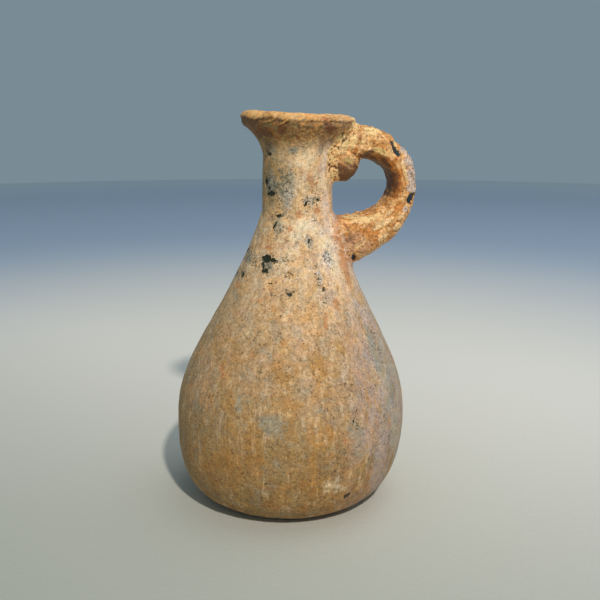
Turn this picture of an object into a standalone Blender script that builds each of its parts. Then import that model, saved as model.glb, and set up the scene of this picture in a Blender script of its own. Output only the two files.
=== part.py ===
"""A small free-blown glass pitcher: a pear-shaped vessel with a folded rim, and one handle trailed on hot.

Metres, +Z up. The origin is the centre of the flat foot, and the handle is on +X.
"""

import math

import bmesh
import bpy
from mathutils import Vector

# Heights of the vessel, each counted from the one before it
BELLY_HEIGHT = 0.0251
BODY_HEIGHT = 0.0905
NECK_LENGTH = 0.0163
FLARE_HEIGHT = 0.0128

# Radii of the vessel's outside
FOOT_RADIUS = 0.0203
BELLY_RADIUS = 0.0361
CREASE_RADIUS = 0.0108
NECK_RADIUS = 0.0103
RIM_RADIUS = 0.0169
LIP_RADIUS = 0.0023

# Thickness of the glass
FLOOR_THICKNESS = 0.0034
BODY_WALL = 0.0023
NECK_WALL = 0.0024

# How the blown form wanders off its axis, towards the handle
BELLY_OFFSET = 0.0008
NECK_OFFSET = 0.0030
RIM_TILT = math.radians(3.0)

# How full the vessel's curves are, as shares of the stretch that each one spans
FOOT_FULLNESS = 0.78
LOWER_FULLNESS = 0.55
UPPER_FULLNESS = 0.33
SHOULDER_FULLNESS = 0.575
SHOULDER_SLOPE = math.radians(18.0)
FLARE_START = 0.53
FLARE_END = 0.17
FLARE_SLOPE = math.radians(22.6)
FUNNEL_START = 0.30
FUNNEL_END = 0.45
LIP_START = math.radians(-70.0)
LIP_END = math.radians(140.0)

# The handle: its reach from the neck's axis, and how far below the crease and the rim
# the middle of its root and of its top lie
HANDLE_REACH = 0.0366
HANDLE_ROOT_DROP = 0.0110
HANDLE_TOP_DROP = 0.0069
HANDLE_SIDE_HEIGHT = 0.0080
HANDLE_SIDE_THICKNESS = 0.0070
HANDLE_TOP_THICKNESS = 0.0106
HANDLE_ROOT_THICKNESS = 0.0165
HANDLE_WIDTH = 0.0110
HANDLE_ROOT_WIDTH = 0.0200
HANDLE_TOP_WIDTH = 0.0120

# How the trail bends and swells, as shares of each limb's own reach and rise, and as powers
ROOT_PULL = (0.66, 0.07)
SIDE_PULL_DOWN = 0.62
SIDE_PULL_UP = 0.57
TOP_PULL = (0.78, 0.02)
ROOT_SWELL = 1.4
ROOT_SPREAD = 2.2
TOP_SWELL = 1.8
TRAIL_SQUARENESS = 2.8

# How deep inside the vessel the trail's two ends start, before they are cut back to its surface
TRAIL_EMBED = 0.0060

# The fold of the trail's end, which hangs against the neck under the rim
FOLD_LENGTH = 0.0127
FOLD_DEPTH = 0.0085
FOLD_WIDTH = 0.0116
FOLD_SQUARENESS = 2.3
FOLD_ABOVE = 0.25

# The gap between the handle and the vessel that carries it
CLEARANCE = 0.0003

# The weathering crust that hides the glass
VESSEL_COLOUR = (0.47, 0.32, 0.18)
VESSEL_ROUGHNESS = 0.75
HANDLE_COLOUR = (0.52, 0.29, 0.12)
HANDLE_ROUGHNESS = 0.7

# How finely each stretch is divided, and the angle from which an edge is sharp
SEGMENTS = 48
OUTER_STEPS = {"lower": 9, "upper": 14, "neck": 3, "flare": 7}
INNER_STEPS = {"lower": 6, "upper": 9, "neck": 2, "funnel": 5}
LIP_STEPS = 9
TRAIL_STEPS = 12
TRAIL_SIDES = 20
FOLD_RINGS = 12
SHARP_ANGLE = math.radians(45.0)

FLARE_FROM = BODY_HEIGHT + NECK_LENGTH
HEIGHT = FLARE_FROM + FLARE_HEIGHT


def clear_scene():
    for obj in list(bpy.data.objects):
        bpy.data.objects.remove(obj, do_unlink=True)


def material(name, colour, roughness):
    made = bpy.data.materials.new(name)
    made.use_nodes = True
    shader = made.node_tree.nodes["Principled BSDF"]
    shader.inputs["Base Color"].default_value = (*colour, 1.0)
    shader.inputs["Roughness"].default_value = roughness
    shader.inputs["Metallic"].default_value = 0.0
    made.diffuse_color = (*colour, 1.0)
    return made


def bezier(start, start_pull, end_pull, end, steps):
    """Points of a cubic curve, without its last one, so that curves follow on from each other."""
    points = []
    for i in range(steps):
        t = i / steps
        points.append(
            (1 - t) ** 3 * start
            + 3 * (1 - t) ** 2 * t * start_pull
            + 3 * (1 - t) * t**2 * end_pull
            + t**3 * end
        )
    return points


def smooth(t):
    t = min(max(t, 0.0), 1.0)
    return t * t * (3 - 2 * t)


def lip_centre():
    return Vector((RIM_RADIUS - LIP_RADIUS, HEIGHT - LIP_RADIUS))


def lip_point(angle):
    return lip_centre() + LIP_RADIUS * Vector((math.cos(angle), math.sin(angle)))


def body_curve(steps):
    """The outside from the foot's edge to the crease, as (radius, height)."""
    foot = Vector((FOOT_RADIUS, 0.0))
    belly = Vector((BELLY_RADIUS, BELLY_HEIGHT))
    crease = Vector((CREASE_RADIUS, BODY_HEIGHT))
    foot_pull = foot + Vector((FOOT_FULLNESS * (BELLY_RADIUS - FOOT_RADIUS), 0.0))
    below = belly - Vector((0.0, LOWER_FULLNESS * BELLY_HEIGHT))
    rise = BODY_HEIGHT - BELLY_HEIGHT
    above = belly + Vector((0.0, UPPER_FULLNESS * rise))
    slope = Vector((math.sin(SHOULDER_SLOPE), -math.cos(SHOULDER_SLOPE)))
    shoulder = crease + SHOULDER_FULLNESS * rise * slope
    lower = bezier(foot, foot_pull, below, belly, steps["lower"])
    upper = bezier(belly, above, shoulder, crease, steps["upper"])
    return lower + upper + [crease]


def neck_curve(steps):
    """The straight neck above the crease, up to where it starts to flare."""
    crease = Vector((CREASE_RADIUS, BODY_HEIGHT))
    top = Vector((NECK_RADIUS, FLARE_FROM))
    return [crease.lerp(top, i / steps["neck"]) for i in range(1, steps["neck"] + 1)]


def flare_curve(steps):
    """The underside of the flare, up to the lip, without the first and last points."""
    start = Vector((NECK_RADIUS, FLARE_FROM))
    end = lip_point(LIP_START)
    out = end - start
    start_pull = start + Vector((0.0, FLARE_START * out.y))
    end_pull = end - FLARE_END * out.x * Vector((1.0, math.tan(FLARE_SLOPE)))
    return bezier(start, start_pull, end_pull, end, steps["flare"])[1:]


def lip_curve():
    """The round of the folded rim, from its underside over its top to the mouth."""
    turn = LIP_END - LIP_START
    return [lip_point(LIP_START + turn * i / LIP_STEPS) for i in range(LIP_STEPS + 1)]


def moved_out(points, distance):
    """The points moved along the outline's own normals, outwards where distance(height) is positive."""
    moved = []
    for i, point in enumerate(points):
        before = points[max(i - 1, 0)]
        after = points[min(i + 1, len(points) - 1)]
        along = (after - before).normalized()
        moved.append(point + distance(point.y) * Vector((along.y, -along.x)))
    return moved


def wall_at(height):
    """The glass thins from the floor to the belly, and is the neck's own from the crease up."""
    if height < BELLY_HEIGHT:
        return FLOOR_THICKNESS + (BODY_WALL - FLOOR_THICKNESS) * smooth(height / BELLY_HEIGHT)
    share = (height - BELLY_HEIGHT) / (BODY_HEIGHT - BELLY_HEIGHT)
    return BODY_WALL + (NECK_WALL - BODY_WALL) * smooth(share)


def outer_outline():
    below_lip = body_curve(OUTER_STEPS) + neck_curve(OUTER_STEPS) + flare_curve(OUTER_STEPS)
    return below_lip + lip_curve()


def inner_outline():
    """The inside from the mouth down to the edge of the floor."""
    wall = body_curve(INNER_STEPS) + neck_curve(INNER_STEPS)
    wall = moved_out(wall, lambda height: -wall_at(height))
    wall[0] = Vector((FOOT_RADIUS, FLOOR_THICKNESS))
    wall[-1] = Vector((NECK_RADIUS - NECK_WALL, FLARE_FROM))
    mouth = lip_point(LIP_END)
    drop = mouth.y - FLARE_FROM
    inward = Vector((-math.sin(LIP_END), math.cos(LIP_END)))
    mouth_pull = mouth + FUNNEL_START * drop * inward
    neck_pull = wall[-1] + Vector((0.0, FUNNEL_END * drop))
    funnel = bezier(mouth, mouth_pull, neck_pull, wall[-1], INNER_STEPS["funnel"])[1:]
    return funnel + wall[::-1]


def axis_at(height):
    """How far the middle of the vessel lies towards the handle at this height."""
    low = BELLY_OFFSET * smooth(height / BELLY_HEIGHT)
    rise = (height - BELLY_HEIGHT) / (BODY_HEIGHT - BELLY_HEIGHT)
    return low + (NECK_OFFSET - BELLY_OFFSET) * smooth(rise)


def tilt_at(height):
    """The rim's plane tilts down towards the handle, and the neck below it doesn't."""
    share = (height - FLARE_FROM) / FLARE_HEIGHT
    return math.tan(RIM_TILT) * min(max(share, 0.0), 1.0)


def on_vessel(radius, height, angle):
    out = radius * math.cos(angle)
    x = axis_at(height) + out
    y = radius * math.sin(angle)
    return Vector((x, y, height - tilt_at(height) * out))


def finished(name, shape):
    """The object that holds this shape, shaded smooth except across its sharp edges."""
    mesh = bpy.data.meshes.new(name)
    shape.to_mesh(mesh)
    shape.free()
    mesh.shade_smooth()
    mesh.set_sharp_from_angle(angle=SHARP_ANGLE)
    obj = bpy.data.objects.new(name, mesh)
    bpy.context.collection.objects.link(obj)
    return obj


def helper(obj):
    """Marks an object that only shapes another one."""
    obj.hide_render = True
    obj.display_type = "WIRE"
    return obj


def lofted(name, rings):
    """A closed body: each ring of points joined to the next, with a flat cap at both ends."""
    shape = bmesh.new()
    rings = [[shape.verts.new(point) for point in ring] for ring in rings]
    for first, second in zip(rings, rings[1:]):
        for i in range(len(first)):
            j = (i + 1) % len(first)
            shape.faces.new((first[i], first[j], second[j], second[i]))
    shape.faces.new(rings[0][::-1])
    shape.faces.new(rings[-1])
    bmesh.ops.recalc_face_normals(shape, faces=shape.faces)
    return finished(name, shape)


def turned(name, outline):
    """The outline turned about the vessel's wandering axis."""
    angles = [2 * math.pi * i / SEGMENTS for i in range(SEGMENTS)]
    rings = [[on_vessel(radius, height, angle) for angle in angles] for radius, height in outline]
    return lofted(name, rings)


def build_vessel():
    vessel = turned("vessel", outer_outline() + inner_outline())
    vessel.data.materials.append(material("vessel_glass", VESSEL_COLOUR, VESSEL_ROUGHNESS))
    return vessel


def build_cutter():
    """The vessel's outside, grown by the clearance and filled, which the handle is cut back to."""
    grown = moved_out(outer_outline(), lambda height: CLEARANCE)
    grown[0] = Vector((FOOT_RADIUS, -CLEARANCE))
    return helper(turned("vessel_outside", grown))


def trail_line():
    """The middle of the trail in the XZ plane, from inside the shoulder round to inside the rim."""
    neck_axis = axis_at(BODY_HEIGHT)
    inside = neck_axis + NECK_RADIUS - TRAIL_EMBED
    root = Vector((inside, BODY_HEIGHT - HANDLE_ROOT_DROP))
    top = Vector((inside, HEIGHT - HANDLE_TOP_DROP))
    side = Vector((neck_axis + HANDLE_REACH - HANDLE_SIDE_THICKNESS / 2, BODY_HEIGHT + HANDLE_SIDE_HEIGHT))
    lower = side - root
    upper = top - side
    root_pull = root + Vector((ROOT_PULL[0] * lower.x, ROOT_PULL[1] * lower.y))
    side_below = side - Vector((0.0, SIDE_PULL_DOWN * lower.y))
    side_above = side + Vector((0.0, SIDE_PULL_UP * upper.y))
    top_pull = top - Vector((TOP_PULL[0] * upper.x, -TOP_PULL[1] * upper.y))
    rising = bezier(root, root_pull, side_below, side, TRAIL_STEPS)
    returning = bezier(side, side_above, top_pull, top, TRAIL_STEPS)
    return rising + returning + [top]


def trail_size(share):
    """(thickness, width) of the trail: share runs 0 at the root, 1 at the side and 2 at the top."""
    if share < 1:
        left = 1 - share
        swell = left**ROOT_SWELL
        spread = left**ROOT_SPREAD
        end_thickness, end_width = HANDLE_ROOT_THICKNESS, HANDLE_ROOT_WIDTH
    else:
        done = share - 1
        swell = done**TOP_SWELL
        spread = smooth(done)
        end_thickness, end_width = HANDLE_TOP_THICKNESS, HANDLE_TOP_WIDTH
    thick = HANDLE_SIDE_THICKNESS + (end_thickness - HANDLE_SIDE_THICKNESS) * swell
    wide = HANDLE_WIDTH + (end_width - HANDLE_WIDTH) * spread
    return thick, wide


def rounded(value, squareness):
    """A cosine or sine of a circle, turned into that of a squarer oval."""
    return math.copysign(abs(value) ** (2 / squareness), value)


def build_trail():
    """The strap of the handle, a squarish oval section carried along its line."""
    line = trail_line()
    rings = []
    for i, point in enumerate(line):
        along = (line[min(i + 1, len(line) - 1)] - line[max(i - 1, 0)]).normalized()
        thick, wide = trail_size(i / TRAIL_STEPS)
        ring = []
        for j in range(TRAIL_SIDES):
            angle = 2 * math.pi * j / TRAIL_SIDES
            out = thick / 2 * rounded(math.cos(angle), TRAIL_SQUARENESS)
            side = wide / 2 * rounded(math.sin(angle), TRAIL_SQUARENESS)
            ring.append(Vector((point.x + out * along.y, side, point.y - out * along.x)))
        rings.append(ring)
    return lofted("handle", rings)


def build_fold():
    """The rounded end of the trail, folded down under the rim and pressed against the neck."""
    neck_wall = axis_at(FLARE_FROM) + NECK_RADIUS
    trail_middle = HEIGHT - HANDLE_TOP_DROP
    half_height = FOLD_LENGTH * (1 + FOLD_ABOVE) / 2
    centre = Vector((neck_wall, 0.0, trail_middle - FOLD_LENGTH + half_height))
    reach = Vector((FOLD_DEPTH, FOLD_WIDTH / 2, half_height))
    shape = bmesh.new()
    bmesh.ops.create_uvsphere(shape, u_segments=TRAIL_SIDES, v_segments=FOLD_RINGS, radius=1.0)
    for vert in shape.verts:
        for k in range(3):
            vert.co[k] = centre[k] + reach[k] * rounded(vert.co[k], FOLD_SQUARENESS)
    return helper(finished("fold", shape))


def build_handle(cutter):
    handle = build_trail()
    join = handle.modifiers.new("join_fold", "BOOLEAN")
    join.operation = "UNION"
    join.solver = "EXACT"
    join.object = build_fold()
    cut = handle.modifiers.new("cut_to_vessel", "BOOLEAN")
    cut.operation = "DIFFERENCE"
    cut.solver = "EXACT"
    cut.object = cutter
    handle.data.materials.append(material("handle_glass", HANDLE_COLOUR, HANDLE_ROUGHNESS))
    return handle


clear_scene()
build_vessel()
build_handle(build_cutter())
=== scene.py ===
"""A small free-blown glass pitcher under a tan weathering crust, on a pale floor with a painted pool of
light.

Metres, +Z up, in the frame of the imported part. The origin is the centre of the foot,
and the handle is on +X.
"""

import math
import random
from collections import namedtuple

import bmesh
import bpy
import numpy as np
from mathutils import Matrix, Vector, noise
from mathutils.bvhtree import BVHTree


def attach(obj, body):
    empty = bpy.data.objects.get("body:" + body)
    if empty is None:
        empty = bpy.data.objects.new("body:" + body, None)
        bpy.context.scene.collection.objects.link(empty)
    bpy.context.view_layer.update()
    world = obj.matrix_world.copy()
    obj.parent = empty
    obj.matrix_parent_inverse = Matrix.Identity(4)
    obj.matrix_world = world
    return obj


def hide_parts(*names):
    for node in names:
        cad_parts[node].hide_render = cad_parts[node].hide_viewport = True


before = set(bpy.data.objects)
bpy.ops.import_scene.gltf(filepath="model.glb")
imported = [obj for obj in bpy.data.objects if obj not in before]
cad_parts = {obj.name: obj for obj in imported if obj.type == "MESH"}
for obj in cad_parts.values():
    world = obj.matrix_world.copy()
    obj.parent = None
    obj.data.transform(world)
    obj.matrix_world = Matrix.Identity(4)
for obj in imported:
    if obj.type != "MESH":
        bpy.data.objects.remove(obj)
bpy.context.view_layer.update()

MM = 0.001

# The camera: its place, how far it looks down and round, its lens, and the picture's side in pixels
CAMERA_PLACE = Vector((-0.0396, -0.24687, 0.119))
CAMERA_DOWN = math.radians(12.79)
CAMERA_ROUND = math.radians(-10.0)
CAMERA_LENS = 48.894
CAMERA_SENSOR = 36.0
CAMERA_NEAR = 0.01
PICTURE_SIDE = 600
PIXEL_REACH = CAMERA_LENS / CAMERA_SENSOR * PICTURE_SIDE

# The vessel's heights, each counted from the one before it
BELLY_HEIGHT = 0.0251
BODY_HEIGHT = 0.0905
NECK_LENGTH = 0.0163
FLARE_HEIGHT = 0.0128
FLARE_FROM = BODY_HEIGHT + NECK_LENGTH
HEIGHT = FLARE_FROM + FLARE_HEIGHT

# Radii of the vessel's outside, and the thickness of its glass
FOOT_RADIUS = 0.0203
BELLY_RADIUS = 0.0361
CREASE_RADIUS = 0.0108
NECK_RADIUS = 0.0103
RIM_RADIUS = 0.0169
LIP_RADIUS = 0.0023
FLOOR_THICKNESS = 0.0034
BODY_WALL = 0.0023
NECK_WALL = 0.0024

# How the blown form wanders off its axis, towards the handle
BELLY_OFFSET = 0.0008
NECK_OFFSET = 0.003
RIM_TILT = math.radians(3.0)

# How full the vessel's curves are, as shares of the stretch that each one spans
FOOT_FULLNESS = 0.78
LOWER_FULLNESS = 0.55
UPPER_FULLNESS = 0.33
SHOULDER_FULLNESS = 0.575
SHOULDER_SLOPE = math.radians(18.0)
FLARE_START = 0.53
FLARE_END = 0.17
FLARE_SLOPE = math.radians(22.6)
FUNNEL_START = 0.3
FUNNEL_END = 0.45
LIP_START = math.radians(-70.0)
LIP_END = math.radians(140.0)

# The underside: a shallow hollow inside the ring it rests on, with the scar of the rod that held it
FOOT_REST = 0.0165
FOOT_HOLLOW = 0.0009
SCAR_RADIUS = 0.0058
SCAR_WIDTH = 0.0011
SCAR_DEPTH = 0.0004

# How finely the vessel is divided round it and along its outline, from the foot's middle on
SEGMENTS = 288
CURVE_STEPS = 48
SPACING = {
    "foot": 0.0014,
    "body": 0.0007,
    "neck": 0.00041,
    "lip": 0.00031,
    "funnel": 0.0006,
    "inside": 0.0016,
}

# The handle's remeshing, and the middle of the gap that it encloses
HANDLE_JOIN = 0.00001
HANDLE_VOXEL = 0.00023
HANDLE_SMOOTHING = 5
HANDLE_SMOOTH_SHARE = 0.5
LOOP_CENTRE = Vector((0.0245, 0.0, 0.0975))

# Relief: how deep and how large each kind is in metres, where it lies, and how softly it starts
BLOWN_DEPTH = 0.00024
BLOWN_SIZE = 0.019
CRUST_DEPTH = 0.00011
CRUST_SIZE = 0.005
INSIDE_CRUST = 0.3
LIP_BAND = 0.006
LIP_LUMP = 0.00028
LIP_SIZE = 0.0058
FOLD_DROP = 0.0018
FOLD_WANDER = 0.0008
FOLD_SIZE = 0.0048
FOLD_WIDTH = 0.0006
FOLD_STEP = 0.00042
FOLD_RECOVER = 0.0042
# How far below the fold its painted shade reaches
FOLD_SHADE_REACH = 0.002
WRINKLE_BAND = 0.0019
WRINKLE_SIZE = 0.0008
WRINKLE_LENGTH = 0.0024
WRINKLE_SLOPE = 0.75
WRINKLE_DEPTH = 0.00034
UNDER_FROM = 0.1088
UNDER_BLUR = 0.0036
BARE_DEPTH = 0.0002
CREAM_DEPTH = 0.00008
WELD_REACH = 0.0036
WELD_HEIGHT = 0.0013
WELD_SHARE = 0.8
CRUMB_FROM = 0.0985
CRUMB_REACH = 0.0031
CRUMB_SIZE = 0.0009
CRUMB_DEPTH = 0.00032
CRUMB_GAIN = 1.6
HANDLE_LUMP = 0.00034
HANDLE_LUMP_SIZE = 0.0036
HANDLE_STRIPE = 0.00026
HANDLE_STRIPE_SIZE = 0.0017
HANDLE_GRAIN = 0.00016
HANDLE_GRAIN_SIZE = 0.0011
HANDLE_SINK = 0.0009
HANDLE_SEAT = 0.0006
HANDLE_WELD_GAIN = 1.1
HANDLE_BARE_DEPTH = 0.0006
HANDLE_GROWTH = 0.00018
GAP_RISE = 0.00058
BLOB_PLACE = (0.018, -0.002, 0.1018)
BLOB_REACH = 0.0048
BLOB_RISE = 0.0008
EDGE_HEIGHT = 0.0003
EDGE_MIDDLE = 0.32
EDGE_WIDTH = 0.25
STRAP_FROM = 0.021
STRAP_BLUR = 0.004
INNER_FROM = 0.35
INNER_BLUR = 0.2
SUNNY_ANGLE = math.radians(-30.0)
SUNNY_BLUR = math.radians(9.0)
STEP_ANGLE = math.radians(63.0)
STEP_BLUR = math.radians(1.6)
STEP_REACH = math.radians(26.0)
STEP_HEIGHT = 0.00035
STEP_WANDER = 0.06
FLAKE_HEIGHT = 0.00022
LUMP_HEIGHT = 0.00038


def linear(red, green, blue):
    """A colour given in display values from 0 to 255, as the linear one that a shader takes."""
    values = []
    for value in (red, green, blue):
        share = value / 255
        values.append(share / 12.92 if share <= 0.04045 else ((share + 0.055) / 1.055) ** 2.4)
    return (*values, 1.0)


def smooth(t):
    t = min(max(t, 0.0), 1.0)
    return t * t * (3 - 2 * t)


def unit(values):
    """The values, held between 0 and 1."""
    return np.clip(values, 0, 1)


def add_object(name, data):
    added = bpy.data.objects.new(name, data)
    bpy.context.collection.objects.link(added)
    return added


def make_camera():
    data = bpy.data.cameras.new("camera")
    data.lens = CAMERA_LENS
    data.sensor_width = CAMERA_SENSOR
    data.clip_start = CAMERA_NEAR
    camera = add_object("camera", data)
    camera.location = CAMERA_PLACE
    camera.rotation_euler = (math.pi / 2 - CAMERA_DOWN, 0.0, CAMERA_ROUND)
    bpy.context.scene.camera = camera
    bpy.context.view_layer.update()
    return camera


# The vessel's outline

def bezier(start, start_pull, end_pull, end):
    """Points of a cubic curve, both ends included."""
    points = []
    for i in range(CURVE_STEPS + 1):
        t = i / CURVE_STEPS
        points.append(
            (1 - t) ** 3 * start
            + 3 * (1 - t) ** 2 * t * start_pull
            + 3 * (1 - t) * t**2 * end_pull
            + t**3 * end
        )
    return points


def lip_point(angle):
    centre = Vector((RIM_RADIUS - LIP_RADIUS, HEIGHT - LIP_RADIUS))
    return centre + LIP_RADIUS * Vector((math.cos(angle), math.sin(angle)))


def body_curve():
    """The outside from the foot's edge to the crease under the neck, as (radius, height)."""
    foot = Vector((FOOT_RADIUS, 0.0))
    belly = Vector((BELLY_RADIUS, BELLY_HEIGHT))
    crease = Vector((CREASE_RADIUS, BODY_HEIGHT))
    rise = BODY_HEIGHT - BELLY_HEIGHT
    foot_pull = foot + Vector((FOOT_FULLNESS * (BELLY_RADIUS - FOOT_RADIUS), 0.0))
    below = belly - Vector((0.0, LOWER_FULLNESS * BELLY_HEIGHT))
    above = belly + Vector((0.0, UPPER_FULLNESS * rise))
    outward = Vector((math.sin(SHOULDER_SLOPE), -math.cos(SHOULDER_SLOPE)))
    shoulder = crease + SHOULDER_FULLNESS * rise * outward
    return bezier(foot, foot_pull, below, belly) + bezier(belly, above, shoulder, crease)[1:]


def neck_curve():
    """The neck and the underside of the flare, from the crease to the lip."""
    crease = Vector((CREASE_RADIUS, BODY_HEIGHT))
    start = Vector((NECK_RADIUS, FLARE_FROM))
    end = lip_point(LIP_START)
    out = end - start
    start_pull = start + Vector((0.0, FLARE_START * out.y))
    end_pull = end - FLARE_END * out.x * Vector((1.0, math.tan(FLARE_SLOPE)))
    return [crease] + bezier(start, start_pull, end_pull, end)


def lip_curve():
    turn = LIP_END - LIP_START
    return [lip_point(LIP_START + turn * i / CURVE_STEPS) for i in range(CURVE_STEPS + 1)]


def foot_curve():
    """The underside from its middle to the foot's edge: hollow, with a ring-shaped scar."""
    points = []
    for i in range(CURVE_STEPS + 1):
        radius = FOOT_RADIUS * i / CURVE_STEPS
        hollow = FOOT_HOLLOW * (1 - smooth(radius / FOOT_REST))
        scar = SCAR_DEPTH * (1 - smooth(abs(radius - SCAR_RADIUS) / SCAR_WIDTH))
        points.append(Vector((radius, max(hollow - scar, 0.0))))
    return points


def eased(height, foot, belly, crease):
    """What turns smoothly from its value at the foot to that at the belly, and on to that at the crease."""
    if height < BELLY_HEIGHT:
        return foot + (belly - foot) * smooth(height / BELLY_HEIGHT)
    return belly + (crease - belly) * smooth((height - BELLY_HEIGHT) / (BODY_HEIGHT - BELLY_HEIGHT))


def inside_curves():
    """The funnel from the mouth to the neck, and the inside from there to the middle of the floor."""
    outside = body_curve()
    wall = [Vector((FOOT_RADIUS, FLOOR_THICKNESS))]
    for before, point, after in zip(outside, outside[1:], outside[2:]):
        along = (after - before).normalized()
        wall_here = eased(point.y, FLOOR_THICKNESS, BODY_WALL, NECK_WALL)
        moved = point - wall_here * Vector((along.y, -along.x))
        if moved.y > FLOOR_THICKNESS:
            wall.append(moved)
    neck = Vector((NECK_RADIUS - NECK_WALL, FLARE_FROM))
    mouth = lip_point(LIP_END)
    drop = mouth.y - neck.y
    inward = Vector((-math.sin(LIP_END), math.cos(LIP_END)))
    mouth_pull = mouth + FUNNEL_START * drop * inward
    neck_pull = neck + Vector((0.0, FUNNEL_END * drop))
    funnel = bezier(mouth, mouth_pull, neck_pull, neck)
    return funnel, [neck] + wall[::-1] + [Vector((0.0, FLOOR_THICKNESS))]


def resampled(points, spacing):
    """Points along a line at an even distance, without its last one."""
    places = np.array([(point.x, point.y) for point in points])
    steps = np.linalg.norm(np.diff(places, axis=0), axis=1)
    along = np.concatenate([[0.0], np.cumsum(steps)])
    wanted = np.linspace(0.0, along[-1], round(along[-1] / spacing) + 1)[:-1]
    return list(zip(np.interp(wanted, along, places[:, 0]), np.interp(wanted, along, places[:, 1])))


def ring_of(radius, height, segments):
    """The points of one ring, the rim's ones tilted down towards the handle."""
    axis = eased(height, 0.0, BELLY_OFFSET, NECK_OFFSET)
    tilt = math.tan(RIM_TILT) * min(max((height - FLARE_FROM) / FLARE_HEIGHT, 0.0), 1.0)
    points = []
    for i in range(segments):
        angle = 2 * math.pi * i / segments
        out = radius * math.cos(angle)
        points.append((axis + out, radius * math.sin(angle), height - tilt * out))
    return points


def bridged(first, second):
    """Faces between two rings of point numbers, the second with all or half as many as the first."""
    faces = []
    count = len(second)
    step = len(first) // count
    for i in range(count):
        j = (i + 1) % count
        if step == 1:
            faces.append((first[i], first[j], second[j], second[i]))
            continue
        start, middle, end = first[2 * i], first[2 * i + 1], first[2 * j]
        faces += [(start, middle, second[i]), (middle, second[j], second[i]), (middle, end, second[j])]
    return faces


def vessel_surface():
    """The closed mesh before any relief, and each point's zone and its height before the rim's tilt."""
    lines = [foot_curve(), body_curve(), neck_curve(), lip_curve(), *inside_curves()]
    points, faces, zones, heights, last = [], [], [], [], None
    for (zone, spacing), line in zip(SPACING.items(), lines):
        segments = SEGMENTS // 2 if zone == "inside" else SEGMENTS
        for radius, height in resampled(line, spacing):
            count = segments if radius > 0 else 1
            ring = list(range(len(points), len(points) + count))
            points += ring_of(radius, height, count)
            zones += [zone] * count
            heights += [height] * count
            if last and len(last) == 1:
                faces += [(last[0], ring[(i + 1) % count], ring[i]) for i in range(count)]
            elif last:
                faces += bridged(last, ring)
            last = ring
    middle = len(points)
    points += ring_of(0.0, FLOOR_THICKNESS, 1)
    zones.append("inside")
    heights.append(FLOOR_THICKNESS)
    faces += [(middle, last[i], last[(i + 1) % len(last)]) for i in range(len(last))]
    return points, faces, np.array(zones), np.array(heights)


def mesh_object(name, points, faces):
    mesh = bpy.data.meshes.new(name)
    mesh.from_pydata(points, [], faces)
    shape = bmesh.new()
    shape.from_mesh(mesh)
    bmesh.ops.recalc_face_normals(shape, faces=shape.faces)
    shape.to_mesh(mesh)
    shape.free()
    mesh.shade_smooth()
    return add_object(name, mesh)


def read_points(mesh):
    """The places and the normals of a mesh's points, as rows of three numbers."""
    found = []
    for source, what in ((mesh.vertices, "co"), (mesh.vertex_normals, "vector")):
        values = np.empty(len(source) * 3, np.float32)
        source.foreach_get(what, values)
        found.append(values.reshape(-1, 3).astype(float))
    return found


def surface_of(mesh):
    return BVHTree.FromPolygons([v.co for v in mesh.vertices], [p.vertices for p in mesh.polygons])


def write_points(mesh, places):
    mesh.vertices.foreach_set("co", places.astype(np.float32).ravel())
    mesh.update()


def noise_at(places, size, seed):
    """Smooth noise from -1 to 1 at each place, with features about this size."""
    shift = Vector((17.3 * seed, -9.1 * seed, 5.7 * seed))
    scaled = places / size
    return np.array([noise.noise(Vector(place) + shift) for place in scaled])


def fractal(places, size, seed, octaves=3):
    """The same with finer and fainter noise on top."""
    return sum(noise_at(places, size / 2.1**i, seed + 0.37 * i) / 1.7**i for i in range(octaves))


def hollows_at(places):
    """How deep the hollows between the grains of the coarse crust are, from 0 to 1."""
    return unit(0.5 - 0.9 * fractal(places, CRUMB_SIZE, 40, 2))


def nearness(surface, places, reach):
    """1 against a surface, falling to 0 at this distance from it."""
    found = [surface.find_nearest(Vector(place), reach)[3] for place in places]
    return np.array([0.0 if distance is None else 1 - distance / reach for distance in found])


def deep(values, start, slope):
    """How fully a stain's relief shows: not at all up to start, rising at this slope to 1."""
    return unit(slope * (values - start))


def band(offset, reach, top=1.0):
    """Full in the middle of a band, falling to 0 at its edges."""
    return unit(top - np.abs(offset) / reach)


# Stains: patches of the crust, with some painted shade and painted highlights among them, placed by the
# pixel where they show or at random where they don't

# The pixel of a stain's middle, its reach along and across, its strength, and its turn in degrees
Stain = namedtuple("Stain", "column row length width strength turn", defaults=(1, 0))
STAIN_STRETCH = 1.8
STAIN_EDGE = 1.5
STAIN_FACING = 0.2
STAIN_SLIMMEST = 0.4

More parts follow.
